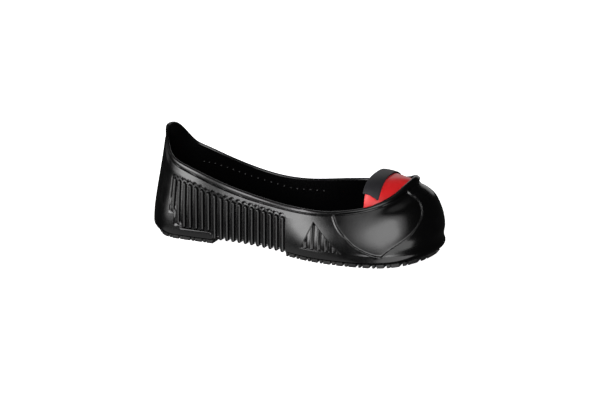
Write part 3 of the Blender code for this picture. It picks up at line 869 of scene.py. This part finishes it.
choose(tread)
bpy.ops.object.mode_set(mode="EDIT")
bpy.ops.mesh.select_mode(type="FACE")
bpy.ops.mesh.select_all(action="DESELECT")
bpy.ops.object.mode_set(mode="OBJECT")
print("tread faces in lugs:", pick_blocks())
bpy.ops.object.mode_set(mode="EDIT")
bpy.ops.mesh.inset(thickness=LUG_DRAFT, depth=LUG_HEIGHT, use_even_offset=False, use_boundary=True)
bpy.ops.object.mode_set(mode="OBJECT")
tread = fuse([tread])

# %% [markdown]
# ## The toe cap
# The cap is a hard shell that follows the inside of the toe and arches over the foot behind the
# throat. Its sheet of points goes up the outside, over the rear edge and back down the inside.
# Where the wall thins to nothing at its borders, the two skins meet and are merged.

# %% Curves of the cap
CAP_WALL = 0.0020
CAP_CROWN = 0.0040
CAP_REAR, CAP_SIDES = 0.783, 0.818
CAP_SHOULDERS = (3.2, 2.0)
CROWN_FULLNESS, CROWN_LEAN = 0.30, 2
CAP_ENDS = [place_at(CAP_SIDES * LENGTH, side) for side in (-1, 1)]


def cap_place(share):
    """Place on the wall beside a share of the way round the cap."""
    outer = mix(CAP_ENDS[0], TOE, share * 2)
    inner = mix(CAP_ENDS[1], TOE, 2 - share * 2)
    return np.where(share < 0.5, outer, inner)


def cap_rim(share):
    """Where the cap meets the throat's rim."""
    place = cap_place(share)
    return wall_points(place, 1) - wall_normals(place, 1) * (WALL + CLEARANCE)


def cap_arch(share):
    """The cap's rear edge, arching over the foot."""
    across, up = np.cos(math.pi * share), np.maximum(0, np.sin(math.pi * share))
    power = 2 / mix(*CAP_SHOULDERS, share)
    first, last, middle = (cap_rim(np.array(at)) for at in (0.0, 1.0, 0.5))
    way = 0.5 - np.copysign(np.abs(across) ** power, across) / 2
    foot = first + (last - first) * way[..., None]
    z = foot[..., 2] + (middle[2] + CAP_CROWN - foot[..., 2]) * up ** power
    return points(np.full_like(z, CAP_REAR * LENGTH), foot[..., 1], z)


def crown_points(share, along):
    """The cap between the throat's rim (along = 0) and its rear edge (along = 1)."""
    share, along = np.broadcast_arrays(share, along)
    place = cap_place(share)
    start, stop = cap_rim(share), cap_arch(share)
    heading = unit(wall_points(place, 1) - wall_points(place, 1 - NEAR))
    across = stop - start
    reach = np.linalg.norm(across, axis=-1, keepdims=True) * CROWN_FULLNESS
    first = start + unit(heading + CROWN_LEAN * unit(across)) * reach
    second = stop + np.concatenate([reach, 0 * reach, 0 * reach], axis=-1)
    return cubic(start, first, second, stop, along)


def crown_normals(share, along):
    left, right = np.maximum(0, share - NEAR), np.minimum(1, share + NEAR)
    low = np.minimum(along, 1 - NEAR)
    aside = crown_points(right, along) - crown_points(left, along)
    climb = crown_points(share, low + NEAR) - crown_points(share, low)
    return unit(np.cross(aside, climb))


# %% Sheet of the cap
CAP_COLUMNS = 120
CAP_LOWER, CAP_UPPER = 26, 34
END_SHARE, FOOT_SHARE, REAR_SHARE = 0.02, 0.04, 0.94


def cap_sheet():
    """Rows up the cap's outside, over its rear edge and down its inside."""
    share = np.linspace(0, 1, CAP_COLUMNS + 1)
    end = np.sqrt(1 - (1 - ramp(np.minimum(share, 1 - share), 0, END_SHARE)) ** 2)
    place = cap_place(share)
    bottom = floor_height(wall_points(place, 0)[:, 0]) + CLEARANCE
    skins = []
    for depth in (0.0, CAP_WALL):
        rows = []
        for height in np.linspace(0, 1, CAP_LOWER):
            out = WALL + CLEARANCE + depth * end * ease(height, 0.0, FOOT_SHARE)
            spot = wall_points(place, height) - wall_normals(place, height) * out[:, None]
            spot[:, 2] = np.maximum(spot[:, 2], bottom + height * 0.001)
            rows.append(spot)
        for along in np.linspace(0, 1, CAP_UPPER)[1:]:
            rear = math.sqrt(1 - ramp(along, REAR_SHARE, 1.0) ** 2)
            sink = mix(CAP_WALL / 2, depth, rear) * end
            rows.append(crown_points(share, along) - crown_normals(share, along) * sink[:, None])
        skins.append(rows)
    return np.array(skins[0] + skins[1][-2::-1])


cap = fuse([sheet("cap_shell", cap_sheet())])
print("open edges of the cap:", open_edges(cap))

# %% [markdown]
# ## The strip on the cap's rear edge
# The strip is a soft channel pushed over the cap's rear edge. Its outline goes back along the top,
# round the edge and a little way under it. Carrying the outline across the arch gives the strip,
# and a bevel softens its edges.

# %% Strip
STRIP_WIDTH = 0.0135
STRIP_WALL = 0.0012
STRIP_ENDS = (0.13, 0.87)
STRIP_COLUMNS, STRIP_TOP = 72, 9
LEAST_CROWN = 0.25


def strip_sheet():
    """The strip's outline at each column across the arch."""
    share = np.linspace(*STRIP_ENDS, STRIP_COLUMNS + 1)
    width = np.linalg.norm(cap_arch(share) - cap_rim(share), axis=-1)
    front = np.maximum(LEAST_CROWN, 1 - STRIP_WIDTH / width)
    back = np.array([-1.0, 0.0, 0.0])
    along = [mix(front, 1.0, step) for step in np.linspace(0, 1, STRIP_TOP)]
    line = [(crown_points(share, at), crown_normals(share, at)) for at in along]
    top = [spot + normal * (CLEARANCE + STRIP_WALL) for spot, normal in line]
    seat = [spot + normal * CLEARANCE for spot, normal in reversed(line)]
    lip, lip_out = line[STRIP_TOP * 2 // 3]
    rear, rear_out = line[-1]
    under, rim = CAP_WALL + CLEARANCE, CLEARANCE + STRIP_WALL
    turn = [top[-1] + back * rim, rear - rear_out * (under + STRIP_WALL) + back * rim,
            lip - lip_out * (under + STRIP_WALL), lip - lip_out * under,
            rear - rear_out * under + back * CLEARANCE, seat[0] + back * CLEARANCE]
    rows = top + turn + seat
    return np.array(rows + [rows[0]])


strip = fuse([sheet("edge_strip", strip_sheet())])
bpy.ops.object.mode_set(mode="EDIT")
bpy.ops.mesh.select_mode(type="EDGE")
bpy.ops.mesh.select_non_manifold()
bpy.ops.mesh.edge_face_add()
bpy.ops.mesh.select_all(action="SELECT")
bpy.ops.mesh.normals_make_consistent(inside=False)
bpy.ops.object.mode_set(mode="OBJECT")
rounding = strip.modifiers.new("rounding", "BEVEL")
rounding.width, rounding.segments, rounding.limit_method = 0.0004, 3, "ANGLE"
rounding.angle_limit = math.radians(40)
bpy.ops.object.modifier_apply(modifier="rounding")
print("open edges of the strip:", open_edges(strip))

# %% Settle every piece
for piece, angle in ((upper, 50), (lining, 60), (pips, 60), (tread, 35), (cap, 50), (strip, 40)):
    settle(piece, angle)

# %% [markdown]
# ## Finishes
# Shader maths is easier to read as sums. The small class below wraps a socket, so that an
# expression such as 0.3 + 0.1 * mask adds the nodes for it. Every other node comes from one method.

# %% Sockets as values
class Value:
    """One output socket, with the sums that are needed."""

    def __init__(self, finish, socket):
        self.finish, self.socket = finish, socket

    def sum(self, operation, first, second):
        return self.finish.node("ShaderNodeMath", {"operation": operation}, {0: first, 1: second})

    def __add__(self, other):
        return self.sum("ADD", self, other)

    def __mul__(self, other):
        return self.sum("MULTIPLY", self, other)

    __radd__, __rmul__ = __add__, __mul__


class Finish:
    """A material and the nodes that make it."""

    def __init__(self, name, **uniform):
        self.material = bpy.data.materials.new(name)
        self.material.use_nodes = True
        self.tree = self.material.node_tree
        self.shader = self.tree.nodes["Principled BSDF"]
        self.shade(**uniform)
        self.place = self.node("ShaderNodeTexCoord", output="Object")

    def feed(self, socket, value):
        if isinstance(value, Value):
            self.tree.links.new(value.socket, socket)
        else:
            socket.default_value = value

    def node(self, kind, settings=None, inputs=None, output=0):
        made = self.tree.nodes.new(kind)
        for name, setting in (settings or {}).items():
            setattr(made, name, setting)
        for name, value in (inputs or {}).items():
            self.feed(made.inputs[name], value)
        return Value(self, made.outputs[output])

    def noise(self, scale, detail=2.0, roughness=0.5):
        inputs = {"Scale": scale, "Detail": detail, "Roughness": roughness, "Vector": self.place}
        return self.node("ShaderNodeTexNoise", {"noise_dimensions": "3D"}, inputs)

    def step(self, value, start, stop):
        """0 below start, 1 above stop, soft between."""
        return self.node("ShaderNodeMapRange", {"interpolation_type": "SMOOTHSTEP"},
                         {"Value": value, "From Min": start, "From Max": stop})

    def blend(self, share, first, second):
        """A colour between two colours."""
        return self.node("ShaderNodeMix", {"data_type": "RGBA"},
                         {0: share, 6: (*first, 1), 7: (*second, 1)}, output=2)

    def bump(self, height, distance, strength=1.0, under=None):
        inputs = {"Height": height, "Distance": distance, "Strength": strength}
        if under:
            inputs["Normal"] = under
        return self.node("ShaderNodeBump", None, inputs)

    def shade(self, **values):
        for socket, value in values.items():
            self.feed(self.shader.inputs[socket.replace("_", " ")], value)
        return self.material


# %% [markdown]
# ## Glossy black rubber
# The rubber leaves a polished mould, so it is nearly a mirror, softened by a fine skin of its own.
# Clean and handled patches shine differently: two sizes of noise vary the roughness, a faint grey
# bloom lifts the black here and there, and a shallow bump makes long reflections ripple.

# %% Rubber
def glossy_rubber():
    finish = Finish("glossy_black_rubber")
    broad = finish.noise(14.0, 3.0, 0.55)
    patches = finish.noise(70.0, 4.0, 0.6)
    skin = finish.noise(900.0)
    bloom = finish.step(broad * 0.6 + patches * 0.4, 0.50, 0.66)
    ripple = finish.bump(broad * 0.7 + patches * 0.3, 0.0006, 0.35)
    return finish.shade(Base_Color=finish.blend(bloom, (0.0010, 0.0010, 0.0011), (0.0022, 0.0022, 0.0024)),
                        Roughness=0.17 + 0.05 * bloom + 0.04 * skin,
                        Normal=finish.bump(skin, 0.00004, 0.5, ripple))


# The lining is the same rubber as the outside, given a shade darker colour and less than half its
# reflection: painted shade for the inside of the shoe, where little light reaches.
def lining_rubber():
    finish = Finish("lining_rubber_painted_shade", Specular_IOR_Level=0.22)
    cloud = finish.noise(30.0, 3.0, 0.6)
    return finish.shade(Base_Color=finish.blend(cloud, (0.0009, 0.0009, 0.0010), (0.0018, 0.0018, 0.0020)),
                        Roughness=0.15 + 0.05 * cloud,
                        Normal=finish.bump(finish.noise(500.0, 3.0, 0.6), 0.00006, 0.5))


def tread_rubber():
    finish = Finish("matt_tread_rubber", Specular_IOR_Level=0.4)
    dust = finish.step(finish.noise(60.0, 4.0, 0.6), 0.45, 0.70)
    return finish.shade(Base_Color=finish.blend(dust, (0.010, 0.010, 0.010), (0.022, 0.021, 0.020)),
                        Roughness=0.42 + 0.20 * dust,
                        Normal=finish.bump(finish.noise(420.0, 4.0, 0.65), 0.0001, 0.6))


# %% [markdown]
# ## Red plastic and grey strip
# The cap is injection-moulded: satin, with a faint orange-peel skin and slightly paler clouds where
# the melt met the mould last. The strip is a softer, matt plastic with a fine leathery grain.

# %% Plastics
def red_plastic():
    finish = Finish("satin_red_plastic")
    cloud = finish.step(finish.noise(45.0, 3.0, 0.6), 0.40, 0.68)
    peel = finish.noise(700.0)
    return finish.shade(Base_Color=finish.blend(cloud, (0.62, 0.014, 0.016), (0.70, 0.028, 0.032)),
                        Roughness=0.30 + 0.08 * peel + 0.06 * cloud,
                        Normal=finish.bump(peel, 0.00005, 0.6))


def grey_strip():
    finish = Finish("matt_grey_strip", Specular_IOR_Level=0.4)
    grain = finish.node("ShaderNodeTexVoronoi", {"feature": "F1"},
                        {"Vector": finish.place, "Scale": 1100.0})
    cloud = finish.noise(80.0, 3.0, 0.6)
    return finish.shade(Base_Color=finish.blend(cloud, (0.009, 0.0086, 0.0105), (0.015, 0.0145, 0.0175)),
                        Roughness=0.55 + 0.15 * cloud,
                        Normal=finish.bump(grain, 0.00008, 0.5))


# %% Dress the pieces
GLOSSY = glossy_rubber()
DRESS = (
    (upper, GLOSSY, "overshoe_body", "black_rubber"),
    (lining, lining_rubber(), "overshoe_body", "black_rubber"),
    (pips, GLOSSY, "overshoe_body", "black_rubber"),
    (tread, tread_rubber(), "overshoe_body", "black_rubber"),
    (cap, red_plastic(), "toe_cap", "red_plastic"),
    (strip, grey_strip(), "cap_edge_strip", "dark_grey_plastic"),
)
for piece, material, node, slot in DRESS:
    piece.data.materials.append(material)
    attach(piece, "root")
    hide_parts(node)
print("dressed:", [piece.name for piece, *_ in DRESS])

# %% [markdown]
# ## Floor, light and camera
# The photograph is a studio picture on white. A wide floor that glows by itself gives the white
# ground, and the world is nearly black, so that only the lights show in the rubber. Its long soft
# highlights are reflections of large lights, so each light is placed where a highlight needs it. A
# softbox is brighter in its middle: smaller lights stand a little in front of the larger ones.

# %% Floor
def pale_floor():
    finish = Finish("pale_floor", Roughness=0.9, Specular_IOR_Level=0.0, Emission_Strength=1.07)
    colour = finish.blend(finish.noise(6.0), (0.93, 0.93, 0.93), (0.95, 0.95, 0.95))
    return finish.shade(Base_Color=colour, Emission_Color=colour)


bpy.ops.mesh.primitive_plane_add(size=60, location=(0, 0, -0.0002))
floor = bpy.context.object
floor.name = "floor"
floor.data.materials.append(pale_floor())
floor.visible_glossy = floor.visible_diffuse = floor.visible_shadow = False

# %% Lights
TARGET = Vector((0.0, 0.0, 0.0427))


def direction(azimuth, elevation):
    """Unit vector from the shoe at an azimuth, from -Y towards +X, and an elevation, in degrees."""
    turn, rise = math.radians(azimuth), math.radians(elevation)
    return Vector((math.sin(turn) * math.cos(rise), -math.cos(turn) * math.cos(rise), math.sin(rise)))


def soft_light(name, azimuth, elevation, width, height, brightness, distance=2.0):
    """An oval light that faces the shoe, sized in degrees as the shoe sees it."""
    away = direction(azimuth, elevation)
    bpy.ops.object.light_add(type="AREA", location=TARGET + away * distance)
    light = bpy.context.object
    light.name = name
    light.rotation_euler = away.to_track_quat("Z", "Y").to_euler()
    sizes = [2 * distance * math.tan(math.radians(angle) / 2) for angle in (width, height)]
    light.data.shape = "ELLIPSE"
    light.data.size, light.data.size_y = sizes
    light.data.energy = brightness * math.pi * sizes[0] * sizes[1] * math.pi / 4


soft_light("front_softbox", 20, 20, 62, 70, 0.9)
soft_light("front_inner", 20, 19, 50, 58, 1.3, 1.9)
soft_light("front_core", 21, 16, 38, 46, 2.9, 1.8)
soft_light("left_softbox", -43, 8, 42, 36, 2.4)
soft_light("left_core", -42, 8, 28, 24, 5.8, 1.9)
soft_light("left_wall", -92, 35, 50, 70, 0.5)
soft_light("ceiling", -20, 80, 36, 30, 0.4)
soft_light("back_softbox", 200, 22, 80, 44, 0.8)
soft_light("low_left", -42, -38, 60, 44, 0.55)
soft_light("low_front", 44, -28, 50, 44, 2.4)

world = bpy.data.worlds.new("studio")
bpy.context.scene.world = world
world.use_nodes = True
backdrop = world.node_tree.nodes["Background"]
backdrop.inputs["Color"].default_value = (1.0, 1.0, 1.0, 1.0)
backdrop.inputs["Strength"].default_value = 0.02
bpy.context.scene.view_settings.view_transform = "Standard"

# %% Camera at the photograph's angle
AZIMUTH, ELEVATION, DISTANCE = 22.2, 15.1, 1.2
PHOTO_WIDTH, PHOTO_HEIGHT = 600, 400
FOCAL_PIXELS = 1236
CENTRE_PIXEL = (294.1, 199.3)
away = direction(AZIMUTH, ELEVATION)
right = direction(AZIMUTH + 90, 0)
bpy.ops.object.camera_add(location=TARGET + away * DISTANCE)
camera = bpy.context.object
camera.rotation_euler = Matrix((right, away.cross(right), away)).transposed().to_euler()
camera.data.lens = FOCAL_PIXELS / PHOTO_WIDTH * camera.data.sensor_width
camera.data.shift_x = (PHOTO_WIDTH / 2 - CENTRE_PIXEL[0]) / PHOTO_WIDTH
camera.data.shift_y = (CENTRE_PIXEL[1] - PHOTO_HEIGHT / 2) / PHOTO_WIDTH
bpy.context.scene.camera = camera
